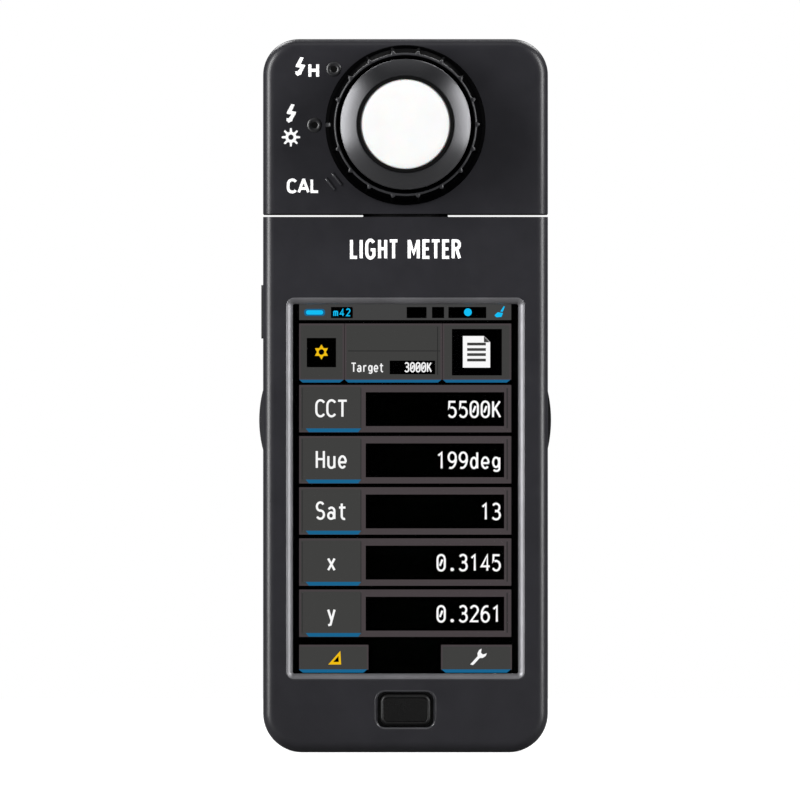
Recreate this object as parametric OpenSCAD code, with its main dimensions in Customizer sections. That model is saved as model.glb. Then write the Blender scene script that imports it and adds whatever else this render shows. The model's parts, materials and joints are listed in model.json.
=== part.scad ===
// Hand-held colour light meter: a slim case with a touch display, and a swivelling
// head that carries the light receptor and its selector ring. The meter stands
// upright on its flat base: +Z is up, the display faces -Y, and the origin is at the
// centre of the base, on the swivel axis of the head.

/* [Case] */
// Width of the case
case_w = 73; // [70:1:78]
// Height of the whole meter
case_h = 182.8; // [181:0.2:186]
// Thickness of the case
case_d = 27; // [26.6:0.2:29]
// Corner radius of the outline at the base
base_r = 10; // [8:0.5:12]
// Corner radius of the outline at the top of the head
top_r = 9.2; // [8:0.2:12]
// Radius of the rounded front and rear edges
edge_r = 2.8; // [1.5:0.1:3]
// Wall thickness
wall = 2; // [1.8:0.1:2.2]
// Thickness of the front wall of the body, which holds the display glass
front_wall = 3.2; // [3:0.1:3.4]
// Where the front and rear shells meet, behind the middle of the case
seam_y = 5; // [4.6:0.1:6]

/* [Swivel] */
// Height of the top of the body
body_h = 137.2; // [136:0.1:138]
// Gap between body and head
head_gap = 0.8; // [0.6:0.1:1.2]
// Radius of the neck collar that shows in the gap
neck_r = 10.9; // [10.4:0.1:11.4]
// Radius of the neck tube that turns in the bushing
tube_r = 8; // [7.6:0.1:8.4]

/* [Display] */
// Width of the display opening
window_w = 57.8; // [57:0.1:58.4]
// Height of the display opening
window_h = 95.2; // [94:0.1:96]
// Height of the lower edge of the opening above the base
window_z = 20.1; // [19.6:0.1:20.6]
// Sideways width of the bevel around the opening
bevel_w = 1.6; // [1.4:0.1:2.2]
// Depth of the bevel
bevel_d = 1.2; // [0.8:0.1:1.5]

/* [Buttons] */
// Width of the power button
power_w = 12.8; // [12:0.1:13.2]
// Height of the power button
power_h = 7.6; // [7:0.1:8]
// Height of the centre of the power button above the base
power_z = 10.95; // [10.6:0.05:11.2]
// Travel of the power button
power_travel = 0.5; // [0.3:0.1:0.5]
// Height of the centre of the side buttons above the base
side_button_z = 85.2; // [84:0.1:90]
// Length of the measuring button on the left side
measure_len = 15.8; // [15:0.1:16.5]
// How far the measuring button stands out
measure_out = 1.04; // [0.8:0.02:1.2]
// Length of the memory button on the right side
memory_len = 15; // [14:0.1:16]
// How far the memory button stands out
memory_out = 0.85; // [0.7:0.05:1]
// Width of the side buttons across the case
side_button_w = 8.8; // [8:0.1:9.2]
// Travel of the side buttons
side_travel = 0.6; // [0.4:0.1:0.6]

/* [Receptor] */
// Height of the receptor axis above the base
receptor_z = 160.7; // [160.4:0.1:161.2]
// Total thickness of the meter over the receptor
receptor_d = 40; // [39:0.5:42]
// Radius of the white diffuser
diffuser_r = 11.5; // [11:0.1:11.6]
// Radius of the curve across the metal dome around the diffuser
dome_r = 9.6; // [9:0.1:12]
// Outer radius of the selector ring at its foot
ring_r = 20.5; // [20:0.1:21]
// Height of the selector ring
ring_h = 9; // [8:0.5:10]
// Number of grip ribs, with one place left for the index
ring_ribs = 17; // [17:1:17]
// Angle between two click positions of the selector ring
click_angle = 38; // [36:1:40]

/* [Battery] */
// Diameter of a battery cell
cell_d = 14.5; // [14.2:0.1:14.5]
// Length of a battery cell
cell_len = 50.5; // [50:0.1:50.5]
// Width of the battery door
door_w = 37.4; // [36:0.2:38]
// Height of the lower edge of the battery door
door_z = 14.8; // [14.6:0.1:15]
// Height of the hinge pin of the battery door
hinge_z = 83; // [82.6:0.1:83.4]
// Radius of the hinge pin
pin_r = 0.75; // [0.7:0.05:0.75]

/* [Hidden] */
$fn = 64;
over = 1;                               // how far a cutter runs past a face
half_w = case_w / 2;
half_d = case_d / 2;
head_z = body_h + head_gap;
inner_x = half_w - wall;
front_in = -half_d + front_wall;        // inner face of the body's front wall
rear_in = half_d - wall;                // inner face of the rear walls
window_mid = window_z + window_h / 2;
glass_front = -half_d + bevel_d;
glass_t = 1;
panel_t = 3;                            // display panel with its frame
board_front = -6;
board_t = 1;
board_rear = board_front + board_t;
board_x = 32.4;
side_y = -3;                            // middle of the side buttons and the port
screw_x = 30;
body_screw_z = [8, 128.5];
head_screw_z = [145.2, 176];
boss_r = 2.6;
cover_z = 106.1;
cover_len = 13.7;
cover_out = 0.5;
sync_z = 60;
cell_y = 3.5;
cell_x = 7.4;
tray_x = 17.2;
tray_z = [17.5, 78.5];
knuckle_r = 1.4;
hinge_y = half_d - knuckle_r;
knuckles = [[-12, -4], [4, 12]];        // along the hinge, on the door
lugs = [[-15.5, -12.3], [-3.7, 3.7], [12.3, 15.5]];
latch_travel = 2;
latch_stem_z = [21, 25.2];
bush_z = 100;
receptor_front = half_d - receptor_d;
index_angle = 180;
drive_r = 16.2;                         // circle on which the drive pin turns
aperture_r = 8;                         // off-axis light path through the wheel
wheel_y = -10.6;
wheel_t = 1.2;

// ---- Helpers -----------------------------------------------------------------

// Extrudes an X-Z outline along Y
module along_y(from, to)
    translate([0, to, 0]) rotate([90, 0, 0]) linear_extrude(to - from) children();

// Extrudes an outline, drawn as Y-Z, along X
module along_x(from, to)
    translate([from, 0, 0]) rotate([90, 0, 90]) linear_extrude(to - from) children();

// Rod along Y at X-Z position p
module rod_y(p, r, from, to)
    translate([p[0], to, p[1]]) rotate([90, 0, 0]) cylinder(r = r, h = to - from);

// Rod along X at Y-Z position p
module rod_x(p, r, from, to)
    translate([from, p[0], p[1]]) rotate([0, 90, 0]) cylinder(r = r, h = to - from);

// Box between two corners
module block(low, high)
    translate(low) cube([high[0] - low[0], high[1] - low[1], high[2] - low[2]]);

// Box that is symmetric about the middle plane
module mid_block(x, y, z) block([-x, y[0], z[0]], [x, y[1], z[1]]);

// Rounded rectangle about the origin
module rounded(w, h, r) {
    square([w - 2 * r, h], center = true);
    square([w, h - 2 * r], center = true);
    for (x = [-1, 1], y = [-1, 1])
        translate([x * (w / 2 - r), y * (h / 2 - r)]) circle(r);
}

// Ring about the receptor axis: inner and outer radius, from and to along Y
module receptor_ring(inner, outer, from, to)
    difference() {
        rod_y([0, receptor_z], outer, from, to);
        rod_y([0, receptor_z], inner, from - over, to + over);
    }

// Turned part about the receptor axis; the profile is radius against -Y
module receptor_turned()
    translate([0, 0, receptor_z]) rotate([90, 0, 0]) rotate_extrude() children();

// Places a child on a circle about the receptor axis, angle 0 at +X, 90 at the top
module on_receptor(angle, radius)
    translate([0, 0, receptor_z]) rotate([0, -angle, 0]) translate([radius, 0, 0])
        children();

// ---- Case shells -------------------------------------------------------------

// Section through the edge of the case: r wide, with rounded front and rear edges
module edge_section(r) {
    translate([0, -half_d]) square([r - edge_r, case_d]);
    translate([0, edge_r - half_d]) square([r, case_d - 2 * edge_r]);
    for (side = [-1, 1])
        translate([r - edge_r, side * (half_d - edge_r)]) circle(edge_r);
}

// Solid half of the case: rounded at Z = 0, cut off flat at the given length
module half_case(r, length) {
    span = 2 * (half_w - r);
    for (side = [0, 1]) mirror([side, 0, 0]) translate([half_w - r, 0, r]) {
        linear_extrude(length - r) edge_section(r);
        rotate([0, 90, 0]) rotate([90, 0, 0]) rotate_extrude(angle = 90) edge_section(r);
    }
    translate([-span / 2, 0, r]) rotate([0, 90, 0]) linear_extrude(span) edge_section(r);
    translate([-span / 2, -half_d, r]) cube([span, case_d, length - r]);
}

// Outline of the hollow inside a half case
module hollow_outline(r, length) {
    inner_r = r - wall;
    for (side = [-1, 1]) translate([side * (inner_x - inner_r), r]) circle(inner_r);
    translate([inner_r - inner_x, wall]) square([2 * (inner_x - inner_r), r]);
    translate([-inner_x, r]) square([2 * inner_x, length - wall - r]);
}

// Front shell of a half case, with bosses that take the screws
module front_shell(r, length, front, screw_z) {
    difference() {
        half_case(r, length);
        along_y(front, half_d + over) hollow_outline(r, length);
        mid_block(case_w, [seam_y, case_d], [-over, length + over]);
    }
    for (x = [-screw_x, screw_x], z = screw_z) difference() {
        rod_y([x, z], boss_r, front, seam_y);
        rod_y([x, z], 0.8, front + 3, seam_y + over);
    }
}

// Rear shell of a half case, with counterbored screw bosses
module rear_shell(r, length, screw_z) {
    difference() {
        union() {
            difference() {
                half_case(r, length);
                along_y(-half_d - over, rear_in) hollow_outline(r, length);
                mid_block(case_w, [-case_d, seam_y], [-over, length + over]);
            }
            for (x = [-screw_x, screw_x], z = screw_z)
                rod_y([x, z], boss_r, seam_y, rear_in + 0.2);
        }
        for (x = [-screw_x, screw_x], z = screw_z) {
            rod_y([x, z], 1.1, 0, case_d);
            rod_y([x, z], 2.1, rear_in - 0.5, case_d);
        }
    }
}

// Group of equal cross-recess screws that sit in the counterbores of a rear shell
module case_screws(screw_z)
    for (x = [-screw_x, screw_x], z = screw_z) difference() {
        union() {
            rod_y([x, z], 2, rear_in - 0.5, half_d - 0.7);
            rod_y([x, z], 0.8, -4, rear_in);
        }
        for (a = [0, 90]) translate([x, half_d - 0.7, z]) rotate([0, a, 0])
            cube([2.4, 1.2, 0.5], center = true);
    }

// Window in the front wall: bevel, seat for the glass, and side ledges
module display_window() {
    translate([0, 0, window_mid]) {
        along_y(-half_d - over, glass_front + glass_t) rounded(window_w, window_h, 0.5);
        along_y(glass_front, front_in + over) rounded(window_w - 3, window_h, 0.5);
        hull() {
            along_y(-half_d - 0.02, -half_d)
                rounded(window_w + 2 * bevel_w, window_h + 2 * bevel_w - 0.5, 2, $fn = 32);
            along_y(glass_front - 0.02, glass_front)
                rounded(window_w, window_h, 0.5, $fn = 32);
        }
    }
}

// Hole of the power button with its small chamfer
module power_hole()
    translate([0, 0, power_z]) {
        along_y(-half_d - over, front_in + over) rounded(power_w + 1.5, power_h + 1.6, 2);
        hull() {
            along_y(-half_d - 0.02, -half_d)
                rounded(power_w + 2.3, power_h + 2.4, 2.4, $fn = 32);
            along_y(-half_d + 0.5, -half_d + 0.52)
                rounded(power_w + 1.5, power_h + 1.6, 2, $fn = 32);
        }
    }

// Hole in a side wall for a side button; side is -1 at the left, 1 at the right
module side_hole(side, len)
    along_x(side * half_w - (side > 0 ? wall + over : over),
            side * half_w + (side > 0 ? over : wall + over))
        translate([side_y, side_button_z]) rounded(side_button_w + 0.6, len + 0.6, 2.3);

// Hole in the top of the body for the neck bushing and the collar above it
module neck_hole() {
    translate([0, 0, body_h - 2 * wall]) cylinder(r = tube_r + 2, h = 3 * wall);
    translate([0, 0, body_h - 0.6]) cylinder(r = neck_r + 0.3, h = wall);
}

module front_housing() color([0.19, 0.19, 0.21])
    difference() {
        front_shell(base_r, body_h, front_in, body_screw_z);
        display_window();
        power_hole();
        side_hole(-1, measure_len);
        side_hole(1, memory_len);
        neck_hole();
        along_x(-half_w - over, -half_w + 1.4)
            translate([side_y, cover_z + cover_len / 2]) rounded(10, cover_len + 0.6, 1);
        along_x(-half_w, -inner_x + over)
            translate([side_y, cover_z + cover_len / 2]) rounded(4.3, 8.1, 0.5);
        rod_x([-0.5, sync_z], 4, -half_w - over, -inner_x + over);
    }

module rear_housing() color([0.17, 0.17, 0.19]) {
    difference() {
        union() {
            rear_shell(base_r, body_h, body_screw_z);
            rod_y([0, bush_z], 7, seam_y + 1, rear_in + 0.2);
        }
        along_y(rear_in - over, half_d + over)
            translate([0, (door_z + hinge_z + 1.5) / 2])
            square([door_w + 0.6, hinge_z + 2.1 - door_z], center = true);
        rod_y([0, bush_z], 5, seam_y, half_d + over);
        translate([0, 0, 120]) along_y(half_d - 0.4, half_d + over) rounded(44, 14, 1.5);
        neck_hole();
    }
    for (x = lugs) difference() {
        union() {
            rod_x([hinge_y, hinge_z], knuckle_r, x[0], x[1]);
            block([x[0], hinge_y - knuckle_r, hinge_z],
                  [x[1], half_d, hinge_z + knuckle_r + 2]);
        }
        rod_x([hinge_y, hinge_z], pin_r, x[0] - over, x[1] + over);
    }
}

module head_front() color([0.19, 0.19, 0.21]) {
    difference() {
        translate([0, 0, case_h]) mirror([0, 0, 1])
            front_shell(top_r, case_h - head_z, wall - half_d,
                        [for (z = head_screw_z) case_h - z]);
        rod_y([0, receptor_z], 13, -case_d, 0);
        drive_slot();
        neck_bore();
        click_dimples();
    }
    click_ridges();
}

// Hole in the bottom of the head for the neck tube
module neck_bore()
    translate([0, 0, head_z - over]) cylinder(r = tube_r, h = wall + 2 * over);

// Slot in the head's front for the pin that the selector ring turns the wheel with
module drive_slot()
    intersection() {
        receptor_ring(drive_r - 1.1, drive_r + 1.1, -half_d - over, wall - half_d + over);
        translate([0, 0, receptor_z]) along_y(-half_d - over, wall - half_d + over)
            polygon([[0, 0], [30, -30], [30, 30]]);
    }

// Shallow dimples mark the two metering positions of the selector ring
module click_dimples()
    for (step = [0, 1]) on_receptor(index_angle - step * click_angle, 23.3)
        rotate([90, 0, 0]) translate([0, 0, half_d - 0.35]) cylinder(r = 1.95, h = over);

// Two short ridges mark its calibration position
module click_ridges()
    for (radius = [22.4, 24.5]) on_receptor(index_angle + click_angle, radius)
        block([-0.3, -half_d - 0.3, -1.9], [0.3, over - half_d, 1.9]);

module head_rear() color([0.17, 0.17, 0.19])
    difference() {
        translate([0, 0, case_h]) mirror([0, 0, 1])
            rear_shell(top_r, case_h - head_z, [for (z = head_screw_z) case_h - z]);
        neck_bore();
    }

// ---- Display and electronics -------------------------------------------------

module screen_glass() color([0.05, 0.05, 0.06])
    translate([0, 0, window_mid]) along_y(glass_front, glass_front + glass_t)
        rounded(window_w - 0.2, window_h - 0.2, 0.5);

module display_panel() color([0.25, 0.27, 0.3])
    translate([0, 0, window_mid]) along_y(front_in, front_in + panel_t - 1.2)
        square([63.4, 101.2], center = true);

module display_frame() color([0.7, 0.71, 0.73])
    translate([0, 0, window_mid]) difference() {
        along_y(front_in, front_in + panel_t) rounded(65, 103, 1);
        along_y(front_in - over, front_in + panel_t - 1.2)
            square([63.4, 101.2], center = true);
    }

module main_board() color([0.06, 0.28, 0.14])
    difference() {
        mid_block(board_x, [board_front, board_rear], [4.5, 124]);
        for (x = [-1, 1]) rod_y([x * screw_x, body_screw_z[0]], 4, -10, 0);
        for (x = [-1, 1]) block([min(x * 33, x * 26), -10, 4], [max(x * 33, x * 26), 0, 8]);
    }

module board_parts() color([0.09, 0.09, 0.1])
    for (p = [[-8, 98, 11], [20, 92, 7], [24.5, 72, 6], [-24, 92, 8], [-25, 30, 7]])
        block([p[0] - p[2] / 2, board_rear, p[1] - p[2] / 2],
              [p[0] + p[2] / 2, board_rear + 1.1, p[1] + p[2] / 2]);

module shield_can() color([0.75, 0.75, 0.77])
    difference() {
        block([-17, board_rear, 88], [2, board_rear + 2.6, 107]);
        block([-16.7, board_rear - over, 88.3], [1.7, board_rear + 2.3, 106.7]);
    }

module buzzer() color([0.08, 0.08, 0.09])
    difference() {
        rod_y([22, 106], 6, board_rear, board_rear + 4.5);
        rod_y([22, 106], 1, board_rear + 3.5, board_rear + 6);
    }

// Tactile switch that works along Y
module power_switch() color([0.12, 0.12, 0.13]) {
    mid_block(3, [board_front - 2.2, board_front], [power_z - 3, power_z + 3]);
    rod_y([0, power_z], 1.6, front_in + 0.9 + power_travel, board_front - 2.1);
}

// Push button of the front face: cap with bevelled edges and a flange behind the wall
module power_button() color([0.06, 0.06, 0.07])
    translate([0, 0, power_z]) {
        hull() {
            along_y(-half_d - 0.1, -half_d + 0.5)
                rounded(power_w - 1.7, power_h - 1.7, 1.1, $fn = 32);
            along_y(-half_d + 0.9, -half_d + 1.4) rounded(power_w, power_h, 1.6, $fn = 32);
        }
        along_y(-half_d + 1.3, front_in + 0.1) rounded(power_w, power_h, 1.6);
        along_y(front_in + 0.05, front_in + 0.75) rounded(power_w + 3, power_h + 2.4, 2);
    }

// Side button whose face is a shallow arch; drawn for the right side
module side_button(len, out) {
    arch_r = (pow(len / 2, 2) + out * out) / (2 * out);
    translate([0, side_y, side_button_z]) {
        intersection() {
            along_x(inner_x - 0.2, half_w + out + over) rounded(side_button_w, len, 2);
            translate([half_w + out - arch_r, side_button_w, 0]) rotate([90, 0, 0])
                cylinder(r = arch_r, h = 2 * side_button_w, $fn = 180);
        }
        along_x(inner_x - 0.85, inner_x - 0.05)
            rounded(side_button_w + 2, len + 2.4, 2.5);
    }
}

// Tactile switch behind a side button; drawn for the right side
module side_switch() {
    block([28.5, board_rear, side_button_z - 3], [31.9, board_rear + 4, side_button_z + 3]);
    rod_x([side_y, side_button_z], 1.5, 31.8, inner_x - 0.9 - side_travel);
}

module measure_button() color([0.19, 0.19, 0.21])
    mirror([1, 0, 0]) side_button(measure_len, measure_out);

module measure_switch() color([0.12, 0.12, 0.13]) mirror([1, 0, 0]) side_switch();

module memory_button() color([0.08, 0.08, 0.09]) side_button(memory_len, memory_out);

module memory_switch() color([0.12, 0.12, 0.13]) side_switch();

// Rubber flap over the port, with a plug on its inner face
module connector_cover() color([0.13, 0.13, 0.14])
    translate([0, side_y, cover_z + cover_len / 2]) {
        along_x(-half_w - cover_out, 1.2 - half_w) rounded(9.4, cover_len, 1);
        along_x(1.1 - half_w, 1.9 - half_w) rounded(2.2, 5.6, 0.4);
    }

module usb_port() color([0.78, 0.78, 0.8])
    translate([0, side_y, cover_z + cover_len / 2]) {
        difference() {
            along_x(-inner_x - 0.5, -inner_x + 7) rounded(3.9, 7.7, 0.5);
            along_x(-inner_x - over, -inner_x + 6) rounded(3.1, 6.9, 0.3);
        }
        along_x(-inner_x + 1.5, -inner_x + 6) square([0.8, 5], center = true);
    }

module sync_terminal() color([0.72, 0.72, 0.74])
    difference() {
        rod_x([-0.5, sync_z], 4, -half_w, -inner_x + 6);
        difference() {
            rod_x([-0.5, sync_z], 3.1, -half_w - over, -inner_x + 4);
            rod_x([-0.5, sync_z], 2.1, -half_w - 2 * over, -inner_x + 5);
        }
        rod_x([-0.5, sync_z], 1.2, -half_w - over, -inner_x + 4);
    }

module signal_cable() color([0.1, 0.1, 0.1])
    translate([0, 0, 118]) cylinder(r = 1.5, h = 26);

module lower_plug() color([0.85, 0.83, 0.78])
    mid_block(4, [board_rear, 2.2], [111, 118]);

module upper_plug() color([0.85, 0.83, 0.78]) mid_block(4, [-3, 3], [144, 149]);

// ---- Battery compartment -----------------------------------------------------

module battery_tray() color([0.1, 0.1, 0.11])
    difference() {
        union() {
            mid_block(tray_x, [board_rear + 0.2, rear_in], tray_z);
            mid_block(tray_x + 3.6, [rear_in - 1, rear_in], [tray_z[0] - 5, tray_z[1] + 2]);
        }
        mid_block(tray_x - 1.8, [cell_y - cell_d / 2 - 0.05, case_d],
                  [tray_z[0] + 1.8, tray_z[1] - 1.2]);
        mid_block(5, [rear_in - 1.5, case_d], [0, tray_z[0] + 3]);
        rod_x([hinge_y, hinge_z], knuckle_r + 0.4, -tray_x, tray_x);
    }

module cell(x, tip) {
    low = tray_z[0] + 5.6;
    translate([x, cell_y, tip > 0 ? low : low + cell_len]) mirror([0, 0, tip > 0 ? 0 : 1])
        rotate_extrude() {
            square([cell_d / 2, cell_len - 1.2]);
            square([2.6, cell_len]);
        }
}

module battery_left() color([0.75, 0.5, 0.2]) cell(-cell_x, 1);

module battery_right() color([0.75, 0.5, 0.2]) cell(cell_x, 1);

// Two conical springs, each a stack of turns joined by a riser
module battery_springs() color([0.8, 0.8, 0.82])
    for (x = [-cell_x, cell_x]) translate([x, cell_y, tray_z[0] + 1.8]) {
        for (z = [0:0.95:2.9]) translate([0, 0, z]) difference() {
            cylinder(r1 = 4.6 - z / 2, r2 = 4.4 - z / 2, h = 0.5);
            translate([0, 0, -over]) cylinder(r = 3.9 - z / 2, h = 3);
        }
        translate([3.2, -0.25, 0]) cube([0.5, 0.5, 3.4]);
    }

module battery_contacts() color([0.8, 0.8, 0.82])
    for (x = [-cell_x, cell_x])
        block([x - 4, cell_y - 4, tray_z[1] - 1.7], [x + 4, cell_y + 4, tray_z[1] - 1.2]);

module battery_door() color([0.17, 0.17, 0.19])
    difference() {
        union() {
            mid_block(door_w / 2, [rear_in + 0.1, half_d], [door_z, hinge_z]);
            for (x = knuckles) rod_x([hinge_y, hinge_z], knuckle_r, x[0], x[1]);
        }
        for (x = lugs)
            block([x[0] - 0.3, rear_in - over, hinge_z - knuckle_r - 0.3],
                  [x[1] + 0.3, half_d + over, hinge_z + over]);
        for (side = [-1, 1])
            block([side * 17 - 4, rear_in - over, hinge_z - 0.3],
                  [side * 17 + 4, half_d + over, hinge_z + over]);
        rod_x([hinge_y, hinge_z], pin_r + 0.05, -case_w, case_w);
        mid_block(5.2, [half_d - 1.1, half_d + over],
                  [latch_stem_z[0] - 2 - latch_travel, latch_stem_z[1] + 2]);
        mid_block(1.8, [rear_in - over, half_d + over],
                  [latch_stem_z[0] - 0.2 - latch_travel, latch_stem_z[1] + 0.2]);
    }

// Thumb piece, stem and tongue of the door latch, drawn in its released position
module battery_latch() color([0.1, 0.1, 0.11]) {
    difference() {
        mid_block(5, [half_d - 1, half_d - 0.1], [19.4, 27]);
        for (z = [20.6:1.2:26.4])
            mid_block(4, [half_d - 0.5, half_d + over], [z, z + 0.5]);
    }
    mid_block(1.6, [rear_in - 0.1, half_d - 0.8], latch_stem_z);
    mid_block(3.4, [rear_in - 0.9, rear_in - 0.05], [door_z + 0.2, 27]);
}

module door_pin() color([0.8, 0.8, 0.82])
    rod_x([hinge_y, hinge_z], pin_r, lugs[0][0], lugs[2][1]);

module tripod_bush() color([0.75, 0.62, 0.32])
    difference() {
        rod_y([0, bush_z], 5, seam_y + 1.5, half_d);
        rod_y([0, bush_z], 3.175, seam_y + 2.5, half_d + over);
    }

module body_screws() color([0.3, 0.3, 0.32]) case_screws(body_screw_z);

module head_screws() color([0.3, 0.3, 0.32]) case_screws(head_screw_z);

module rating_plate() color([0.62, 0.62, 0.64])
    translate([0, 0, 120]) along_y(half_d - 0.4, half_d - 0.1) rounded(43.6, 13.6, 1.4);

// ---- Swivel ------------------------------------------------------------------

module neck_bushing() color([0.85, 0.84, 0.8])
    difference() {
        union() {
            translate([0, 0, body_h - 6]) cylinder(r = tube_r + 2, h = 5.4);
            intersection() {
                translate([0, 0, body_h - wall - 1.5]) cylinder(r = tube_r + 4, h = 1.5);
                translate([0, 0, body_h]) cube([40, -2 * front_in - 0.2, 20], center = true);
            }
        }
        translate([0, 0, body_h - 10]) cylinder(r = tube_r + 0.05, h = 20);
    }

module neck_tube() color([0.07, 0.07, 0.08])
    difference() {
        union() {
            translate([0, 0, body_h - 9]) cylinder(r = tube_r, h = 15);
            translate([0, 0, body_h - 0.5]) cylinder(r = neck_r, h = head_gap + 0.5);
        }
        translate([0, 0, body_h - 10]) cylinder(r = tube_r - 2, h = 20);
        translate([0, 0, body_h - 7.6]) difference() {
            cylinder(r = tube_r + over, h = 0.9);
            translate([0, 0, -over]) cylinder(r = tube_r - 0.7, h = 3);
        }
    }

module neck_clip() color([0.7, 0.7, 0.72])
    translate([0, 0, body_h - 7.6]) difference() {
        cylinder(r = tube_r + 1.7, h = 0.9);
        translate([0, 0, -over]) cylinder(r = tube_r - 0.7, h = 3);
        translate([0, 0, -over]) linear_extrude(3) polygon([[0, 0], [20, -5], [20, 5]]);
    }

module neck_nut() color([0.75, 0.62, 0.32])
    translate([0, 0, head_z + wall]) difference() {
        cylinder(r = tube_r + 3, h = 2);
        translate([0, 0, -over]) cylinder(r = tube_r, h = 4);
        for (a = [0:90:270]) rotate([0, 0, a]) translate([10.5, 0, 1])
            cube([2, 2, 4], center = true);
    }

// ---- Receptor and selector ring ----------------------------------------------

module receptor_barrel() color([0.06, 0.06, 0.07]) {
    receptor_ring(9.6, 12.2, receptor_front + 2.4, 0.9 - half_d);
    receptor_ring(9.6, 13, 0.85 - half_d, wall - half_d);
    receptor_ring(9.6, 14.5, wall - half_d, wall - half_d + 0.6);
}

// Metal dome around the diffuser; its foot holds the selector ring on
module receptor_bezel() color([0.66, 0.66, 0.68])
    receptor_turned() {
        difference() {
            intersection() {
                translate([12.25, half_d + 0.05])
                    square([4.3, -receptor_front - half_d - 0.25]);
                translate([11.4, -receptor_front - 0.2 - dome_r]) circle(dome_r);
            }
            translate([14.95, half_d]) square([3, 2.1]);
        }
    }

module diffuser() color([0.95, 0.95, 0.94])
    receptor_turned() {
        translate([0, -receptor_front - 1.9]) square([diffuser_r, 1.7]);
        translate([0, -receptor_front - 2.4]) square([diffuser_r - 1, 1]);
    }

module diffuser_rim() color([0.04, 0.04, 0.04])
    receptor_ring(diffuser_r, 12.25, receptor_front, receptor_front + 2.4);

// Grip ring with a tapered side, ribs and a pointer; a pin on its lip drives the wheel
module selector_ring() color([0.07, 0.07, 0.08]) {
    foot = half_d + 0.2;
    top = foot + ring_h;
    receptor_turned() polygon([[15.05, foot], [ring_r, foot], [ring_r, foot + 1.2],
        [19.4, foot + 1.8], [18.5, top - 0.4], [18.1, top], [17.3, top],
        [17.3, foot + 1.6], [15.05, foot + 1.6]]);
    for (i = [1:ring_ribs]) on_receptor(index_angle + i * 360 / (ring_ribs + 1), 18)
        block([0, 0.7 - top, -0.55], [2.3, -foot - 0.5, 0.55]);
    on_receptor(index_angle, 17.8) block([0, 0.5 - top, -0.8], [2.5, -foot - 0.5, 0.8]);
    on_receptor(0, drive_r) rod_y([0, 0], 0.8, -foot - 0.5, wheel_y + 1);
}

module filter_wheel() color([0.1, 0.1, 0.11])
    difference() {
        receptor_ring(1.55, 18.4, wheel_y, wheel_y + wheel_t);
        for (step = [-1, 0]) on_receptor(270 + step * click_angle, aperture_r)
            rod_y([0, 0], 2.6, wheel_y - over, wheel_y + 3);
        for (step = [-1:1]) on_receptor(180 + step * click_angle, 19.2)
            rod_y([0, 0], 1.2, wheel_y - over, wheel_y + 3);
        on_receptor(0, drive_r) rod_y([0, 0], 0.8, wheel_y - over, wheel_y + 3);
        for (a = [20, 90]) on_receptor(a, 10)
            rod_y([0, 0], 3.6, wheel_y - over, wheel_y + 3);
    }

module nd_filter() color([0.3, 0.33, 0.35])
    on_receptor(270 - click_angle, aperture_r)
        rod_y([0, 0], 2.6, wheel_y + 0.1, wheel_y + 1.1);

module wheel_axle() color([0.8, 0.8, 0.82]) {
    rod_y([0, receptor_z], 1.5, wheel_y - 0.5, -8.6);
    rod_y([0, receptor_z], 2.6, wheel_y - 1, wheel_y - 0.4);
}

// Spring-loaded ball at the rim of the wheel gives the click positions
module detent_block() color([0.12, 0.12, 0.13])
    difference() {
        block([-33, wall - half_d, receptor_z - 2.5], [-20.2, -8.7, receptor_z + 2.5]);
        rod_x([wheel_y + 0.6, receptor_z], 1.1, -30, 0);
    }

module detent_ball() color([0.85, 0.85, 0.86])
    translate([-19.7, wheel_y + 0.6, receptor_z]) sphere(1);

module detent_spring() color([0.8, 0.8, 0.82]) {
    for (x = [-29.5:1.4:-21.5]) translate([x, wheel_y + 0.6, receptor_z])
        rotate([0, 90, 0]) difference() {
            cylinder(r = 0.95, h = 0.5);
            translate([0, 0, -over]) cylinder(r = 0.55, h = 3);
        }
    block([-29.5, wheel_y + 1.2, receptor_z - 0.2],
          [-20.6, wheel_y + 1.5, receptor_z + 0.2]);
}

// ---- Optics ------------------------------------------------------------------

module optics_block() color([0.09, 0.09, 0.1])
    difference() {
        mid_block(24, [-8.6, 4.2], [149, 177.5]);
        mid_block(22.4, [-7, 4.2 + over], [150.6, 175.9]);
        rod_y([0, receptor_z - aperture_r], 2, -9, -6);
    }

module slit_plate() color([0.55, 0.55, 0.57])
    difference() {
        mid_block(4, [-7, -6.6], [151, 157]);
        mid_block(1.6, [-8, -6], [receptor_z - aperture_r - 0.1,
                                  receptor_z - aperture_r + 0.1]);
    }

module grating() color([0.7, 0.72, 0.78])
    translate([-14, 0.5, 155]) rotate([0, 0, 30])
        cube([10, 2, 8.6], center = true);

module line_sensor() color([0.15, 0.15, 0.16])
    block([9, 1.6, 160], [18, 4.2, 174]);

module sensor_board() color([0.06, 0.28, 0.14])
    mid_block(26, [4.2, 5.2], [147, 179]);

// ---- What is drawn -----------------------------------------------------------

front_housing();
rear_housing();
screen_glass();
display_panel();
display_frame();
main_board();
board_parts();
shield_can();
buzzer();
power_button();
power_switch();
measure_button();
measure_switch();
memory_button();
memory_switch();
connector_cover();
usb_port();
sync_terminal();
battery_door();
battery_latch();
door_pin();
battery_tray();
battery_left();
battery_right();
battery_springs();
battery_contacts();
tripod_bush();
body_screws();
rating_plate();
neck_bushing();
signal_cable();
lower_plug();
head_front();
head_rear();
neck_tube();
neck_nut();
neck_clip();
receptor_barrel();
receptor_bezel();
diffuser();
diffuser_rim();
selector_ring();
filter_wheel();
nd_filter();
wheel_axle();
detent_block();
detent_ball();
detent_spring();
optics_block();
slit_plate();
grating();
line_sensor();
sensor_board();
upper_plug();
head_screws();
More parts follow.
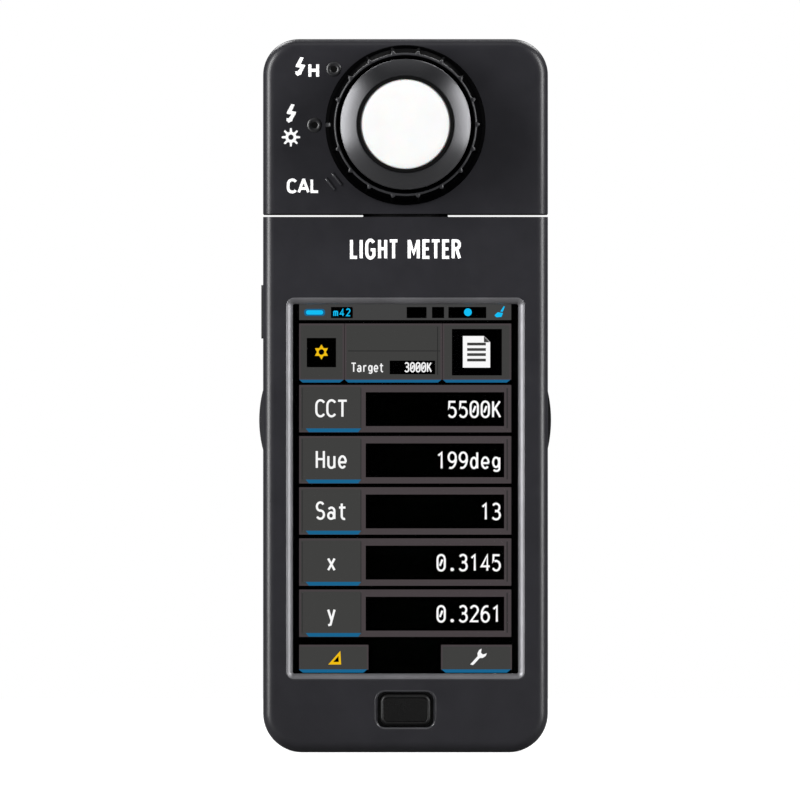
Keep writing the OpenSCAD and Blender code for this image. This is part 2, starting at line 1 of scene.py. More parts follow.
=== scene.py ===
"""Looks of a hand-held colour light meter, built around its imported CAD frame.

Lengths are millimetres in the frame's axes, except for the lights and the floor, which are
in metres. +X is to the right of the display, +Z is up, and the display faces -Y.
"""
import json
import math

import bmesh
import bpy
from mathutils import Matrix, Vector, geometry


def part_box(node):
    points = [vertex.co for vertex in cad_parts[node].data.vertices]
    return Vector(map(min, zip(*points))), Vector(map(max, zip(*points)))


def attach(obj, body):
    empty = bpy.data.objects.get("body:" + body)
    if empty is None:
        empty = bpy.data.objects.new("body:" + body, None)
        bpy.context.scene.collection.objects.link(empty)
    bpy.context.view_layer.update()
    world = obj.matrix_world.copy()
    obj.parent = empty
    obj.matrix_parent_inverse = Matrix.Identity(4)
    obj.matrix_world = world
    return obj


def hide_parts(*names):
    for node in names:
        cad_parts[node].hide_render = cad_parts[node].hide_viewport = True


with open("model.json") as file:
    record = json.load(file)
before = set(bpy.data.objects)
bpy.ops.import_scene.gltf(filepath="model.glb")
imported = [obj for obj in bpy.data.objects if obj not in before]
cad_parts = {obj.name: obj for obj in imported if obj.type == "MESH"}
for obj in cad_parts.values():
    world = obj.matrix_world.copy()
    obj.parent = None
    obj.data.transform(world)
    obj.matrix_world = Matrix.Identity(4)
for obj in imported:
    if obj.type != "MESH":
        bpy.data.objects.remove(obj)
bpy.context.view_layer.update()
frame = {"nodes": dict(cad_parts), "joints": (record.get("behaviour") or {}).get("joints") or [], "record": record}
NODES = frame["nodes"]
MM = 0.001


# ---- Measures taken from the frame ---------------------------------------------

def node_box(name):
    """Lowest and highest corner of a CAD node in millimetres."""
    low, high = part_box(name)
    return low / MM, high / MM


def joint_place(name):
    """Pivot of a joint in millimetres."""
    joint = next(j for j in frame["joints"] if j["name"] == name)
    return Vector(joint["pos_m"]) / MM


GLASS_LOW, GLASS_HIGH = node_box("screen_glass")
AXIS_Z = joint_place("selector_turn").z   # height of the receptor axis
FACE_Y = node_box("front_housing")[0].y   # front face of the case
BACK_Y = node_box("rear_housing")[1].y    # back face of the case


# ---- Mesh helpers --------------------------------------------------------------

def finish_piece(name, mesh, body, material, smooth=False):
    """Puts a mesh in millimetres into the scene, on a body and with a named material."""
    mesh.transform(Matrix.Scale(MM, 4))
    if smooth:
        mesh.shade_smooth()
    piece = bpy.data.objects.new(name, mesh)
    bpy.context.scene.collection.objects.link(piece)
    piece.data.materials.append(MATERIALS[material])
    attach(piece, body)
    return piece


def from_bmesh(name, bm, body, material, smooth=False):
    """Finishes a piece from a bmesh and frees it."""
    bmesh.ops.recalc_face_normals(bm, faces=bm.faces)
    mesh = bpy.data.meshes.new(name)
    bm.to_mesh(mesh)
    bm.free()
    return finish_piece(name, mesh, body, material, smooth)


def add_prism(bm, outline, front, back):
    """Adds a closed prism: an X-Z outline between two Y planes."""
    near = [bm.verts.new((x, front, z)) for x, z in outline]
    far = [bm.verts.new((x, back, z)) for x, z in outline]
    bm.faces.new(near)
    bm.faces.new(list(reversed(far)))
    for i, vert in enumerate(near):
        j = (i + 1) % len(near)
        bm.faces.new((vert, far[i], far[j], near[j]))


def rectangle(left, right, low, high):
    """X-Z outline of a rectangle."""
    return [(left, low), (right, low), (right, high), (left, high)]


def rounded_rectangle(left, right, low, high, radius, steps=6):
    """X-Z outline of a rectangle with round corners."""
    outline = []
    corners = [(right - radius, low + radius, -90), (right - radius, high - radius, 0),
               (left + radius, high - radius, 90), (left + radius, low + radius, 180)]
    for x, z, start in corners:
        for step in range(steps + 1):
            angle = math.radians(start + 90 * step / steps)
            outline.append((x + radius * math.cos(angle), z + radius * math.sin(angle)))
    return outline


def place_outline(outline, x, z, scale=1.0, angle=0.0):
    """Scales, turns and moves an outline."""
    c, s = math.cos(math.radians(angle)), math.sin(math.radians(angle))
    return [(x + scale * (u * c - v * s), z + scale * (u * s + v * c)) for u, v in outline]


def circle_outline(x, z, radius, steps=32):
    """X-Z outline of a circle."""
    turns = [2 * math.pi * i / steps for i in range(steps)]
    return [(x + radius * math.cos(a), z + radius * math.sin(a)) for a in turns]


def lathe(name, profile, body, material, segments=256, shape=None, smooth=True,
          axis="Y", centre=None):
    """Turns a closed profile of (radius, distance along the axis).

    The axis runs along X, Y or Z through centre, which is on the receptor axis unless
    it is given. shape(radius, along, angle) may give a changed radius.
    """
    middle = Vector(centre or (0.0, 0.0, AXIS_Z))
    bm = bmesh.new()
    rings = []
    for i in range(segments):
        angle = 2 * math.pi * i / segments
        ring = []
        for radius, along in profile:
            r = shape(radius, along, angle) if shape else radius
            c, d = r * math.cos(angle), r * math.sin(angle)
            spot = {"X": (along, c, d), "Y": (c, along, d), "Z": (c, d, along)}[axis]
            ring.append(bm.verts.new(middle + Vector(spot)))
        rings.append(ring)
    count = len(profile)
    for i in range(segments):
        here, there = rings[i], rings[(i + 1) % segments]
        for k in range(count):
            m = (k + 1) % count
            bm.faces.new((here[k], there[k], there[m], here[m]))
    bmesh.ops.remove_doubles(bm, verts=bm.verts, dist=1e-5)
    return from_bmesh(name, bm, body, material, smooth)


def loft(name, rows, body, material):
    """Smooth solid through rows of points, each row a closed loop, with flat ends."""
    bm = bmesh.new()
    loops = [[bm.verts.new(point) for point in row] for row in rows]
    for here, there in zip(loops, loops[1:]):
        for k, vert in enumerate(here):
            m = (k + 1) % len(here)
            bm.faces.new((vert, there[k], there[m], here[m]))
    bm.faces.new(loops[0])
    bm.faces.new(list(reversed(loops[-1])))
    return from_bmesh(name, bm, body, material, True)


def carve(name, node, cutter, body, material, edge):
    """New piece for a CAD node: its shape less a cutter, with softened edges."""
    source = NODES[node]
    tool_mesh = bpy.data.meshes.new("cutter")
    bmesh.ops.recalc_face_normals(cutter, faces=cutter.faces)
    cutter.to_mesh(tool_mesh)
    cutter.free()
    tool_mesh.transform(Matrix.Scale(MM, 4))
    tool = bpy.data.objects.new("cutter", tool_mesh)
    work = bpy.data.objects.new("work", source.data.copy())
    for item in (tool, work):
        bpy.context.scene.collection.objects.link(item)
    weld = work.modifiers.new("weld", "WELD")
    weld.merge_threshold = 0.002 * MM
    cut = work.modifiers.new("cut", "BOOLEAN")
    cut.operation = "DIFFERENCE"
    cut.solver = "EXACT"
    cut.object = tool
    add_bevel(work, edge)
    shapes = bpy.context.evaluated_depsgraph_get()
    mesh = bpy.data.meshes.new_from_object(work.evaluated_get(shapes))
    bpy.data.objects.remove(tool)
    bpy.data.objects.remove(work)
    mesh.transform(Matrix.Scale(1 / MM, 4))
    mesh.materials.clear()
    piece = finish_piece(name, mesh, body, material)
    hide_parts(node)
    return piece


def add_bevel(piece, width):
    """Bevel modifier on sharp edges; width in millimetres."""
    bevel = piece.modifiers.new("bevel", "BEVEL")
    bevel.width = width * MM
    bevel.segments = 3
    bevel.limit_method = "ANGLE"
    bevel.angle_limit = math.radians(40)


def bow(x, y, rx, ry, start, end, steps=8):
    """Points along part of an ellipse, angles in degrees."""
    turns = [math.radians(start + (end - start) * i / steps) for i in range(steps + 1)]
    return [(x + rx * math.cos(a), y + ry * math.sin(a)) for a in turns]


# Pen strokes of each letter: the capital height is 1 and a letter is centred on x = 0.
# A stroke whose ends meet is a loop.
LETTERS = {
    "0": [bow(0, 0.72, 0.22, 0.27, 0, 180) + bow(0, 0.27, 0.22, 0.27, 180, 360) + [(0.22, 0.72)],
          [(-0.08, 0.30), (0.08, 0.70)]],
    "1": [[(-0.17, 0.80), (0.03, 0.98), (0.03, 0)]],
    "2": [bow(0, 0.74, 0.22, 0.26, 160, -25) + [(-0.21, 0.03), (0.25, 0.03)]],
    "3": [bow(-0.02, 0.76, 0.21, 0.24, 150, -88) + bow(-0.02, 0.27, 0.24, 0.27, 88, -150)],
    "4": [[(0.12, 0), (0.12, 0.98), (-0.23, 0.27), (0.27, 0.27)]],
    "5": [[(0.20, 0.97), (-0.17, 0.97), (-0.19, 0.54)] + bow(-0.01, 0.31, 0.23, 0.31, 118, -150)],
    "6": [bow(0.08, 0.40, 0.31, 0.58, 72, 178), bow(0, 0.30, 0.22, 0.30, 0, 360, 20)],
    "9": [bow(-0.08, 0.60, 0.31, 0.58, 252, 358), bow(0, 0.70, 0.22, 0.30, 0, 360, 20)],
    ".": [bow(0, 0.07, 0.045, 0.045, 0, 360, 6)],
    "K": [[(-0.2, 0), (-0.2, 1)], [(0.21, 1), (-0.18, 0.42)], [(-0.07, 0.58), (0.23, 0)]],
    "C": [bow(0.01, 0.67, 0.25, 0.31, 32, 180) + bow(0.01, 0.33, 0.25, 0.31, 180, 328)],
    "T": [[(-0.26, 0.95), (0.26, 0.95)], [(0, 1), (0, 0)]],
    "H": [[(-0.21, 0), (-0.21, 1)], [(0.21, 0), (0.21, 1)], [(-0.21, 0.52), (0.21, 0.52)]],
    "S": [bow(0, 0.74, 0.21, 0.25, 30, 265) + bow(0, 0.26, 0.22, 0.25, 85, -150)],
    "L": [[(-0.18, 1), (-0.18, 0.05), (0.20, 0.05)]],
    "I": [[(0, 0), (0, 1)]],
    "G": [bow(0, 0.71, 0.25, 0.28, 30, 180) + bow(0, 0.29, 0.25, 0.28, 180, 330),
          [(0.02, 0.46), (0.24, 0.46), (0.24, 0.12)]],
    "M": [[(-0.31, 0), (-0.31, 1)], [(0.31, 0), (0.31, 1)],
          [(-0.29, 0.97), (0, 0.28), (0.29, 0.97)]],
    "E": [[(0.19, 0.95), (-0.18, 0.95), (-0.18, 0.05), (0.19, 0.05)], [(-0.18, 0.51), (0.15, 0.51)]],
    "R": [[(-0.2, 0), (-0.2, 0.95)] + bow(0.02, 0.74, 0.21, 0.21, 90, -90) + [(-0.2, 0.53)],
          [(0.03, 0.53), (0.24, 0)]],
    "A": [[(-0.29, 0), (-0.02, 0.97), (0.02, 0.97), (0.29, 0)], [(-0.19, 0.30), (0.19, 0.30)]],
    "a": [bow(0, 0.48, 0.18, 0.20, 150, 0, 6) + [(0.18, 0)], bow(-0.02, 0.20, 0.17, 0.19, 0, 360, 16)],
    "d": [bow(-0.02, 0.34, 0.18, 0.33, 0, 360, 20), [(0.18, 1), (0.18, 0)]],
    "e": [[(-0.18, 0.33), (0.22, 0.33)], bow(0, 0.35, 0.20, 0.34, -2, 318, 16)],
    "g": [bow(-0.02, 0.38, 0.18, 0.30, 0, 360, 20),
          [(0.18, 0.68)] + bow(0, -0.02, 0.18, 0.15, 0, -150)],
    "m": [[(-0.24, 0), (-0.24, 0.66)], bow(-0.12, 0.52, 0.12, 0.15, 170, 0, 5) + [(0, 0)],
          bow(0.12, 0.52, 0.12, 0.15, 170, 0, 5) + [(0.24, 0)]],
    "r": [[(-0.12, 0.70), (-0.12, 0)], bow(0.08, 0.44, 0.20, 0.24, 180, 60, 5)],
    "t": [[(-0.04, 0.92)] + bow(0.11, 0.17, 0.15, 0.17, 180, 290, 5), [(-0.2, 0.68), (0.18, 0.68)]],
    "u": [[(-0.18, 0.70)] + bow(0, 0.2, 0.18, 0.2, 180, 350), [(0.18, 0.70), (0.18, 0)]],
    "x": [[(-0.19, 0.69), (0.19, 0)], [(0.19, 0.69), (-0.19, 0)]],
    "y": [[(-0.19, 0.69), (0.01, 0.05)], [(0.19, 0.69), (-0.05, -0.20), (-0.19, -0.24)]],
}


def stroke_quads(points, width):
    """Quads of a pen stroke of even width along X-Z points, mitred where it bends."""
    loop = math.dist(points[0], points[-1]) < 0.01 * width
    if loop:
        points = points[:-1]
    count = len(points)
    edges = []
    for i, (x, z) in enumerate(points):
        before = points[i - 1] if loop or i > 0 else points[i]
        after = points[(i + 1) % count] if loop or i < count - 1 else points[i]
        came = Vector((x - before[0], z - before[1]))
        goes = Vector((after[0] - x, after[1] - z))
        came = came.normalized() if came.length else goes.normalized()
        goes = goes.normalized() if goes.length else came
        side = Vector((-(came + goes).y, (came + goes).x)).normalized()
        reach = width / 2 / max(0.55, side.dot(Vector((-goes.y, goes.x))))
        edges.append((Vector((x, z)) + side * reach, Vector((x, z)) - side * reach))
    spans = count if loop else count - 1
    pairs = [(edges[i], edges[(i + 1) % count]) for i in range(spans)]
    return [[a[0], a[1], b[1], b[0]] for a, b in pairs]


def add_union(bm, polygons, front, back):
    """Adds one flat solid that covers the union of X-Z polygons."""
    points = []
    rings = []
    for polygon in polygons:
        area = sum(a[0] * b[1] - b[0] * a[1] for a, b in zip(polygon, polygon[1:] + polygon[:1]))
        rings.append(list(range(len(points), len(points) + len(polygon))))
        points += [Vector(point) for point in (polygon if area > 0 else polygon[::-1])]
    flat, _, faces, _, _, sources = geometry.delaunay_2d_cdt(points, [], rings, 1, 1e-5)
    faces = [face for face, source in zip(faces, sources) if source]
    near = [bm.verts.new((p.x, front, p.y)) for p in flat]
    far = [bm.verts.new((p.x, back, p.y)) for p in flat]
    rims = set()
    for face in faces:
        bm.faces.new([near[i] for i in face])
        bm.faces.new([far[i] for i in reversed(face)])
        rims |= {(face[k], face[(k + 1) % len(face)]) for k in range(len(face))}
    for i, j in sorted(rims):
        if (j, i) not in rims:
            bm.faces.new((near[j], near[i], far[i], far[j]))
    for vert in near + far:
        if not vert.link_faces:
            bm.verts.remove(vert)


def add_words(bm, words, x, z, cap, front, back, pitch=None, align="LEFT", squeeze=1.0,
              weight=0.13, space=0.14):
    """Adds letters with baseline z, in cells of equal pitch or else with equal gaps."""
    shapes = []
    spans = []
    for letter in words:
        quads = []
        for stroke in LETTERS.get(letter, []):
            points = [(u * cap * squeeze, w * cap) for u, w in stroke]
            quads += stroke_quads(points, weight * cap)
        across = [point[0] for quad in quads for point in quad] or [0.0, 0.28 * cap]
        shapes.append(quads)
        spans.append((-pitch / 2, pitch / 2) if pitch else (min(across), max(across)))
    gap = 0.0 if pitch else space * cap
    total = sum(high - low for low, high in spans) + gap * (len(words) - 1)
    cursor = x - {"LEFT": 0, "CENTER": total / 2, "RIGHT": total}[align]
    for quads, (low, high) in zip(shapes, spans):
        shift = cursor - low
        if quads:
            moved = [[(point[0] + shift, point[1] + z) for point in quad] for quad in quads]
            add_union(bm, moved, front, back)
        cursor += high - low + gap


def frame_skin(name, opening, radius, profile, body, material):
    """Frame around an opening (left, right, low, high) in the X-Z plane.

    profile is a closed loop of (offset, y), where offset runs outwards from the opening.
    """
    left, right, low, high = opening
    bm = bmesh.new()
    loops = [[bm.verts.new((x, y, z)) for x, z in
              rounded_rectangle(left - o, right + o, low - o, high + o, radius + max(o, 0), 12)]
             for o, y in profile]
    count = len(loops[0])
    for k, loop in enumerate(loops):
        other = loops[(k + 1) % len(loops)]
        for i in range(count):
            j = (i + 1) % count
            bm.faces.new((loop[i], loop[j], other[j], other[i]))
    return from_bmesh(name, bm, body, material, True)


# ---- Materials -----------------------------------------------------------------

MATERIALS = {}                            # every material by its name


def principled(name, color, roughness, metallic=0.0, **sockets):
    """Adds a material with one Principled shader; returns its tree and the shader."""
    material = bpy.data.materials.new(name)
    MATERIALS[name] = material
    material.use_nodes = True
    tree = material.node_tree
    shader = tree.nodes["Principled BSDF"]
    shader.inputs["Base Color"].default_value = (*color, 1.0)
    shader.inputs["Roughness"].default_value = roughness
    shader.inputs["Metallic"].default_value = metallic
    for socket, value in sockets.items():
        shader.inputs[socket.replace("_", " ")].default_value = value
    return tree, shader


def add_node(tree, kind, **values):
    """Adds a node; values name its inputs or its own settings."""
    node = tree.nodes.new(kind)
    for key, value in values.items():
        label = key.replace("_", " ")
        if label in node.inputs:
            node.inputs[label].default_value = value
        else:
            setattr(node, key, value)
    return node


def noise(tree, size, detail=3.0, stretch=(1.0, 1.0, 1.0)):
    """Noise texture whose features are about size millimetres across."""
    place = add_node(tree, "ShaderNodeTexCoord")
    mapping = add_node(tree, "ShaderNodeMapping", Scale=stretch)
    texture = add_node(tree, "ShaderNodeTexNoise", Scale=1.0 / (size * MM), Detail=detail)
    tree.links.new(place.outputs["Object"], mapping.inputs["Vector"])
    tree.links.new(mapping.outputs["Vector"], texture.inputs["Vector"])
    return texture.outputs["Fac"]


def vary_color(tree, shader, source, dark, light, low=0.3, high=0.7):
    """Base colour runs from dark to light with a texture."""
    ramp = add_node(tree, "ShaderNodeValToRGB")
    ramp.color_ramp.elements[0].position = low
    ramp.color_ramp.elements[0].color = (*dark, 1.0)
    ramp.color_ramp.elements[1].position = high
    ramp.color_ramp.elements[1].color = (*light, 1.0)
    tree.links.new(source, ramp.inputs["Fac"])
    tree.links.new(ramp.outputs["Color"], shader.inputs["Base Color"])


def vary_roughness(tree, shader, source, low, high):
    """Roughness runs from low to high with a texture."""
    span = add_node(tree, "ShaderNodeMapRange")
    span.inputs["To Min"].default_value = low
    span.inputs["To Max"].default_value = high
    tree.links.new(source, span.inputs["Value"])
    tree.links.new(span.outputs["Result"], shader.inputs["Roughness"])


def add_bump(tree, shader, source, height, strength=1.0):
    """Bump from a texture; height is in millimetres."""
    bump = add_node(tree, "ShaderNodeBump", Strength=strength, Distance=height * MM)
    tree.links.new(source, bump.inputs["Height"])
    tree.links.new(bump.outputs["Normal"], shader.inputs["Normal"])


def grained(name, color, roughness, grain, height, spread=0.12, metallic=0.0, **sockets):
    """Moulded or painted surface: fine grain, faint mottling and uneven gloss."""
    tree, shader = principled(name, color, roughness, metallic, **sockets)
    dark = [c * (1 - spread) for c in color]
    light = [c * (1 + spread) for c in color]
    vary_color(tree, shader, noise(tree, 9.0), dark, light)
    vary_roughness(tree, shader, noise(tree, 3.5), roughness - 0.05, roughness + 0.05)
    add_bump(tree, shader, noise(tree, grain, 2.0), height)


def brushed(name, color, roughness, stretch, height=0.002, **sockets):
    """Metal with fine marks that run along one direction."""
    tree, shader = principled(name, color, roughness, 1.0, **sockets)
    marks = noise(tree, 0.12, 2.0, stretch)
    vary_roughness(tree, shader, marks, roughness - 0.07, roughness + 0.07)
    vary_color(tree, shader, noise(tree, 5.0), [c * 0.94 for c in color], color)
    add_bump(tree, shader, marks, height)


def glowing(name, color, strength=1.0):
    """Lit part of the display: it glows evenly and reflects nothing."""
    shader = principled(name, (0.0, 0.0, 0.0), 0.6, Specular_IOR_Level=0.0)[1]
    shader.inputs["Emission Color"].default_value = (*color, 1.0)
    shader.inputs["Emission Strength"].default_value = strength


def srgb(red, green, blue):
    """Linear colour of a 0 to 255 screen colour."""
    def linear(v):
        v /= 255
        return v / 12.92 if v <= 0.04045 else ((v + 0.055) / 1.055) ** 2.4
    return tuple(linear(v) for v in (red, green, blue))


PAINT = (0.0125, 0.0122, 0.0147)          # faintly violet black of the front shells


def cover_glass():
    """Clear display glass."""
    tree, shader = principled("cover_glass", (1.0, 1.0, 1.0), 0.03,
                              Transmission_Weight=1.0, IOR=1.08)
    vary_roughness(tree, shader, noise(tree, 12.0), 0.015, 0.05)


def circuit_board():
    """Green solder mask with faint copper tracks under it."""
    tree, shader = principled("circuit_board", (0.01, 0.09, 0.035), 0.35, Coat_Weight=0.4)
    vary_color(tree, shader, noise(tree, 1.6, 1.0), (0.008, 0.07, 0.028), (0.02, 0.14, 0.05),
               0.48, 0.52)
    add_bump(tree, shader, noise(tree, 1.6, 1.0), 0.02)


def diffuser_opal_with_glow():
    """Opal plastic that scatters light, with a faint painted glow (emission) that brightens it."""
    tree, shader = principled("diffuser_white", (0.5, 0.5, 0.5), 0.5,
                              Subsurface_Weight=0.3, Subsurface_Scale=0.001)
    # Painted glow: the disc gives off a little light of its own, though it is no lamp.
    shader.inputs["Emission Color"].default_value = (1.0, 1.0, 1.0, 1.0)
    shader.inputs["Emission Strength"].default_value = 0.05
    vary_color(tree, shader, noise(tree, 6.0), (0.52, 0.52, 0.515), (0.54, 0.54, 0.535))
    add_bump(tree, shader, noise(tree, 0.3, 2.0), 0.004)


def turned_metal():
    """Satin aluminium turned on a lathe: fine grooves around the axis stretch its gloss."""
    tree, shader = principled("bezel_metal", (0.12, 0.12, 0.125), 0.42, 1.0,
                              Anisotropic=0.8, Anisotropic_Rotation=0.25)
    tangent = add_node(tree, "ShaderNodeTangent", direction_type="RADIAL", axis="Y")
    tree.links.new(tangent.outputs["Tangent"], shader.inputs["Tangent"])
    place = add_node(tree, "ShaderNodeTexCoord")
    mapping = add_node(tree, "ShaderNodeMapping", Location=(0.0, 0.0, -AXIS_Z * MM))
    grooves = add_node(tree, "ShaderNodeTexWave", wave_type="RINGS", rings_direction="Y",
                       Scale=1000.0, Distortion=0.6, Detail=2.0)
    tree.links.new(place.outputs["Object"], mapping.inputs["Vector"])
    tree.links.new(mapping.outputs["Vector"], grooves.inputs["Vector"])
    vary_color(tree, shader, grooves.outputs["Fac"], (0.108, 0.108, 0.113), (0.131, 0.131, 0.136))
    add_bump(tree, shader, grooves.outputs["Fac"], 0.0006)


def make_materials():
    """Every material of the meter and of its lit picture."""
    grained("case_paint", PAINT, 0.36, 0.22, 0.004, Specular_IOR_Level=0.34)
    grained("rear_paint", (0.019, 0.019, 0.021), 0.5, 0.45, 0.05)
    cover_glass()
    glowing("display", (0.0, 0.0, 0.0))
    brushed("frame_steel", (0.62, 0.62, 0.63), 0.32, (1.0, 1.0, 0.05))
    circuit_board()
    grained("chip", (0.02, 0.02, 0.022), 0.5, 0.15, 0.006)
    grained("inner_plastic", (0.018, 0.018, 0.02), 0.5, 0.4, 0.01)
    grained("power_key", (0.0037, 0.0036, 0.0035), 0.26, 0.3, 0.002, Specular_IOR_Level=0.3)
    grained("key_edge", (0.005, 0.005, 0.005), 0.4, 0.3, 0.001, Specular_IOR_Level=0.25)
    grained("side_key", (0.028, 0.028, 0.031), 0.38, 0.25, 0.006)
    grained("memory_key", (0.008, 0.008, 0.009), 0.25, 0.3, 0.003)
    grained("cover_rubber", (0.02, 0.02, 0.021), 0.7, 0.18, 0.012)
    brushed("plated_metal", (0.72, 0.7, 0.66), 0.2, (1.0, 0.05, 1.0))
    grained("battery_wrap", (0.55, 0.32, 0.06), 0.3, 0.8, 0.004, Coat_Weight=0.3)
    brushed("spring_steel", (0.66, 0.66, 0.66), 0.25, (1.0, 1.0, 1.0))
    brushed("brass", (0.60, 0.47, 0.24), 0.3, (1.0, 0.05, 1.0))
    grained("screw_black", (0.02, 0.02, 0.022), 0.35, 0.2, 0.005, metallic=0.7)
    brushed("plate", (0.38, 0.38, 0.39), 0.38, (0.03, 1.0, 1.0))
    grained("acetal", (0.68, 0.66, 0.58), 0.4, 0.5, 0.004, spread=0.03)
    grained("neck_black", (0.004, 0.004, 0.0045), 0.6, 0.2, 0.004, Specular_IOR_Level=0.15)
    grained("cable_jacket", (0.015, 0.015, 0.015), 0.55, 0.3, 0.005)
    grained("barrel_black", (0.001, 0.001, 0.001), 0.6, 0.3, 0.004, Specular_IOR_Level=0.08)
    turned_metal()
    diffuser_opal_with_glow()
    grained("ring_black", (0.0004, 0.0004, 0.0005), 0.5, 0.2, 0.003, Specular_IOR_Level=0.006)
    principled("nd_glass", (0.35, 0.38, 0.4), 0.05, Transmission_Weight=1.0)
    brushed("mirror", (0.8, 0.82, 0.88), 0.1, (1.0, 1.0, 0.02))
    # Darker copy of the case paint for the click dishes: painted shade.
    grained("dish_painted_shade", (0.009, 0.009, 0.010), 0.4, 0.2, 0.003)
    grained("index_grey", (0.007, 0.007, 0.008), 0.5, 0.3, 0.001)
    # Lighter grey than the ring's black, for its lip and rib tips: painted highlight.
    grained("lip_painted_highlight", (0.022, 0.022, 0.024), 0.34, 0.3, 0.001, Specular_IOR_Level=0.3)
    # Lighter, glossier copy of the case paint on small edges and ridges: painted highlight.
    grained("gloss_painted_highlight", (0.035, 0.035, 0.038), 0.2, 0.3, 0.001)
    # Half-metal much lighter than the case paint for the window bevel: painted highlight on top of its real
    # reflection.
    grained("trim_metal_painted_highlight", (0.119, 0.118, 0.125), 0.40, 0.3, 0.002, metallic=0.5)
    brushed("cell_metal", (0.62, 0.62, 0.63), 0.25, (1.0, 1.0, 0.05))
    grained("sleeve_dark", (0.012, 0.012, 0.013), 0.25, 0.8, 0.003, Coat_Weight=0.4)
    grained("print_white", (0.88, 0.88, 0.88), 0.5, 0.3, 0.002, spread=0.02)
    # Black for print on the glass, and painted shade of the plate's fine groove.
    grained("print_and_shade_black", (0.0005, 0.0005, 0.0005), 0.5, 0.5, 0.001, Specular_IOR_Level=0.0)
    glowing("screen_black", (0.0, 0.0, 0.0))
    glowing("screen_grey", srgb(64, 64, 63))
    glowing("screen_bar", srgb(66, 66, 66))
    glowing("screen_border", srgb(72, 66, 68))
    glowing("screen_shade", srgb(46, 46, 46))
    glowing("screen_blue", srgb(26, 99, 141))
    glowing("screen_cyan", srgb(19, 190, 245))
    glowing("screen_white", srgb(250, 250, 250))
    glowing("screen_yellow", srgb(240, 190, 20))


def dress_frame():
    """Gives every CAD node the material of its slot."""
    for part in frame["record"]["subparts"]:
        mesh = NODES[part["node"]].data
        mesh.materials.clear()
        mesh.materials.append(MATERIALS[part["material_slot"]])


def soften_edges():
    """Rounds the sharp edges of the outer CAD nodes a little, as moulding and paint do."""
    widths = {0.3: ("head_front", "head_rear", "front_housing", "rear_housing",
                    "measure_button", "memory_button", "connector_cover"),
              0.15: ("power_button", "sync_terminal", "neck_tube", "rating_plate"),
              0.08: ("battery_latch", "usb_port", "body_screws", "head_screws", "door_pin")}
    for width, names in widths.items():
        for name in names:
            weld = NODES[name].modifiers.new("weld", "WELD")
            weld.merge_threshold = 0.002 * MM
            add_bevel(NODES[name], width)


# ---- Display -------------------------------------------------------------------

# The picture lies between the panel and the glass. u runs right from its left edge,
# v runs down from its top edge.
PICTURE_W = 54.6
LAYER = 0.06                              # step between stacked picture layers
PICTURE_BASE = node_box("display_panel")[0].y - 0.12
OPENING_TOP = GLASS_HIGH.z + 0.1
OPENING_LOW = GLASS_LOW.z - 0.1
CELL_PITCH = 2.83                         # spacing of the display's equal-width letters
FIRST_ROW = 21.15                         # top of the first reading
ROW_PITCH = 13.11
ROW_H = 12.13


class Layer:
    """One colour of the display picture on one depth."""

    def __init__(self, name, depth, material):
        self.name = name
        self.front = PICTURE_BASE - (depth + 1) * LAYER
        self.back = self.front + LAYER * 0.8
        self.material = material
        self.bm = bmesh.new()

    def outline(self, points):
        """Adds an outline given in picture measures."""
        add_prism(self.bm, [(u - PICTURE_W / 2, OPENING_TOP - v) for u, v in points],
                  self.front, self.back)

    def box(self, u0, v0, u1, v1, radius=0.0):
        """Adds a box given by its left, top, right and bottom."""
        if radius:
            self.outline(rounded_rectangle(u0, u1, v0, v1, radius, 4))
        else:
            self.outline(rectangle(u0, u1, v0, v1))

    def words(self, text, u, v, cap, pitch=None, align="LEFT", squeeze=1.0, weight=0.13):
        """Adds text whose baseline is at v."""
        add_words(self.bm, text, u - PICTURE_W / 2, OPENING_TOP - v, cap,
                  self.front, self.back, pitch, align, squeeze, weight)

    def done(self):
        """Makes the piece."""
        return from_bmesh(self.name, self.bm, "main", self.material)


def star(u, v, points, outer, inner, turn=0.0):
    """Outline of a star."""
    outline = []
    for i in range(2 * points):
        angle = math.radians(turn + 180 * i / points)
        radius = outer if i % 2 == 0 else inner
        outline.append((u + radius * math.sin(angle), v - radius * math.cos(angle)))
    return outline


def value_row(layers, top, bottom, label, value):
    """One reading: a label key, its value in a black field, and fine dark lines."""
    border, grey, black, blue, white = (layers[k] for k in
                                        ("border", "grey", "black", "blue", "white"))
    border.box(0.0, top, 54.4, bottom)
    grey.box(0.5, top + 0.5, 15.9, bottom - 0.4)
    black.box(17.1, top + 1.85, 52.6, bottom - 1.58)
    blue.outline([(1.7, bottom - 1.0), (15.9, bottom - 1.0), (15.2, bottom - 0.04),
                  (2.5, bottom - 0.04)])
    baseline = (top + bottom) / 2 + 2.06
    white.words(label, 8.3, baseline, 4.3, CELL_PITCH, "CENTER")
    white.words(value, 52.0, baseline + 0.12, 4.06, CELL_PITCH, "RIGHT", 1.04)
    for left, right in ((0.72, 0.92), (15.78, 15.98), (53.2, 53.5)):
        layers["shade"].box(left, top + 0.8, right, bottom - 1.05)


def status_bar(layers):
    """Bar at the top of the picture: battery pill, memory counter and small fields."""
    layers["bar"].box(0.0, 0.2, 54.4, 4.5)
    layers["blue"].box(1.3, 1.65, 6.7, 3.45, 0.75)
    layers["cyan"].box(1.8, 2.0, 6.2, 3.1, 0.5)
    for left, right in ((8.2, 13.8), (27.6, 32.7), (34.1, 37.2), (38.3, 48.0)):
        layers["black"].box(left, 1.15, right, 4.0)
    layers["cyan"].words("m42", 8.6, 3.45, 1.8, 1.6, "LEFT", 1.1, 0.17)
    layers["cyan"].outline(circle_outline(43.3, 2.5, 1.0, 24))
    layers["cyan"].outline([(50.1, 3.3), (50.9, 2.5), (52.3, 2.7), (51.9, 3.7), (50.6, 3.8)])
    layers["cyan"].outline([(51.6, 2.3), (52.5, 0.9), (52.75, 1.1), (52.2, 2.4)])


